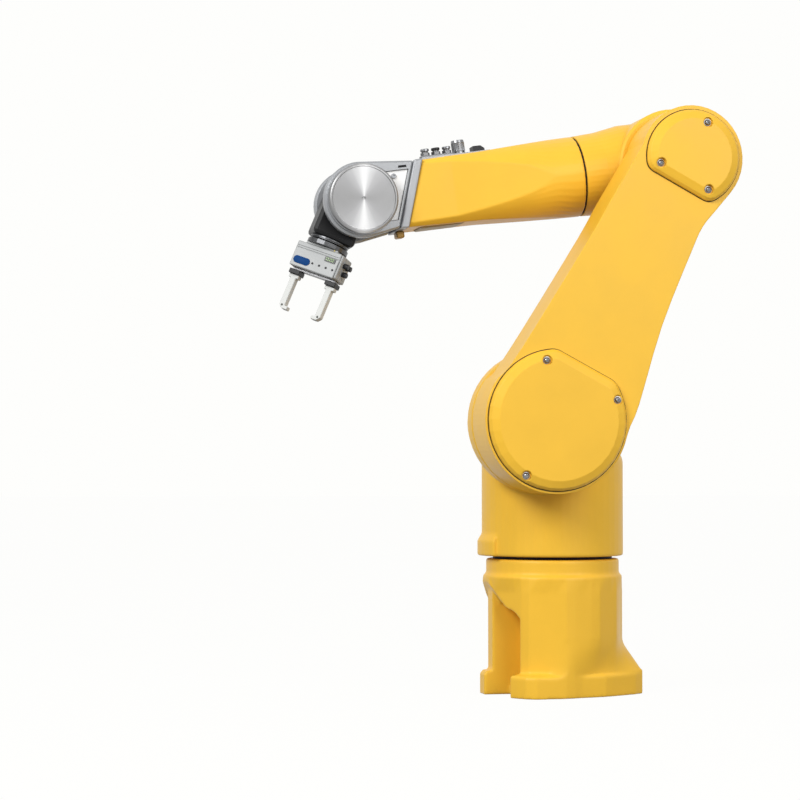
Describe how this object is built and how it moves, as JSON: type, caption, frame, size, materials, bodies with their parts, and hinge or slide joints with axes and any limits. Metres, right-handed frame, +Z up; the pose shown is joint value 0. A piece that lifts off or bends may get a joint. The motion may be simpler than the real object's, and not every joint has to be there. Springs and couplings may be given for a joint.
{
  "type": "industrial robot arm with gripper",
  "caption": "Jointed industrial robot arm on a bolted base, painted yellow, with turned steel wrist discs, a black wrist housing and a small parallel gripper with hooked fingers.",
  "frame": {"origin": "centre of the base's underside, on the vertical axis that the arm turns about", "axes": "+Z up, +X the forward reach of the arm, +Y the side that carries the upper arm"},
  "size_m": [0.7673, 0.3766, 1.0068],
  "materials": {
    "yellow_paint": "fine orange peel, half gloss",
    "grey_cast": "fine blasted",
    "turned_aluminium": "turned",
    "bright_steel": "ground",
    "clear_anodised": "clear anodised, satin",
    "black_housing": "black coated, fine streaks",
    "black_seal": "matte",
    "black_plastic": "matte",
    "finger_grey": "milled, satin",
    "bronze_latch": "dull",
    "dark_display": "gloss"
  },
  "bodies": {
    "base": {"base_casting": "yellow_paint", "rear_panel": "grey_cast", "rear_connector_left": "black_plastic", "rear_connector_right": "black_plastic", "base_seal_ring": "black_seal"},
    "turret": {"shoulder_casting": "yellow_paint", "shoulder_back_cap": "yellow_paint", "shoulder_seal_ring": "yellow_paint"},
    "upper_arm": {"upper_arm_casting": "yellow_paint", "shoulder_cover": "yellow_paint", "elbow_cover": "yellow_paint"},
    "elbow": {"elbow_housing": "yellow_paint", "elbow_back_cap": "yellow_paint", "elbow_seal_ring": "yellow_paint"},
    "forearm": {"forearm_shell": "yellow_paint", "forearm_seal_ring": "black_seal", "connector_plate": "grey_cast", "air_manifold": "bright_steel", "round_connector": "bright_steel", "signal_plug": "black_plastic", "underside_cover": "yellow_paint", "wrist_plate": "grey_cast", "fork_arm_near": "grey_cast", "fork_arm_far": "grey_cast", "wrist_disc_near": "turned_aluminium", "wrist_disc_far": "turned_aluminium", "plate_latch": "bronze_latch"},
    "wrist": {"wrist_housing": "black_housing", "wrist_hub": "bright_steel"},
    "tool": {"tool_flange": "bright_steel", "gripper_adapter": "clear_anodised", "gripper_body": "clear_anodised", "gripper_end_panel": "clear_anodised", "gripper_connector_1": "black_plastic", "gripper_connector_2": "black_plastic", "gripper_connector_3": "black_plastic", "gripper_display": "dark_display", "jaw_rail": "bright_steel"},
    "jaw_left": {"jaw_carrier_left": "black_housing", "finger_left": "finger_grey"},
    "jaw_right": {"jaw_carrier_right": "black_housing", "finger_right": "finger_grey"}
  },
  "joints": [
    {"name": "axis_1_base", "type": "hinge", "parent": "base", "child": "turret", "pos_m": [0, 0, 0.236], "axis": [0, 0, 1], "range_deg": [-180, 180]},
    {"name": "axis_2_shoulder", "type": "hinge", "parent": "turret", "child": "upper_arm", "pos_m": [0.05, 0.1265, 0.4685], "axis": [0, 1, 0], "range_deg": [-101.5, 85]},
    {"name": "axis_3_elbow", "type": "hinge", "parent": "upper_arm", "child": "elbow", "pos_m": [-0.18512, 0.1265, 0.90977], "axis": [0, -1, 0], "range_deg": [-20, 270]},
    {"name": "axis_4_forearm", "type": "hinge", "parent": "elbow", "child": "forearm", "pos_m": [-0.03196, 0.045, 0.89639], "axis": [0.9898, 0, -0.1426], "range_deg": [-270, 270]},
    {"name": "axis_5_wrist", "type": "hinge", "parent": "forearm", "child": "wrist", "pos_m": [0.35652, 0.045, 0.8404], "axis": [0, 1, 0], "range_deg": [-165, 55]},
    {"name": "axis_6_tool", "type": "hinge", "parent": "wrist", "child": "tool", "pos_m": [0.4067, 0.045, 0.76107], "axis": [0.3827, 0, -0.9239], "range_deg": [-270, 270]},
    {"name": "jaw_slide_left", "type": "slide", "parent": "tool", "child": "jaw_left", "axis": [-0.8001, 0.5, -0.3314], "range_m": [0, 0.02]},
    {"name": "jaw_slide_right", "type": "slide", "parent": "tool", "child": "jaw_right", "axis": [0.8001, -0.5, 0.3314], "range_m": [0, 0.02]}
  ],
  "couplings": [
    {"joint": "jaw_slide_right", "follows": "jaw_slide_left", "ratio": 1}
  ]
}
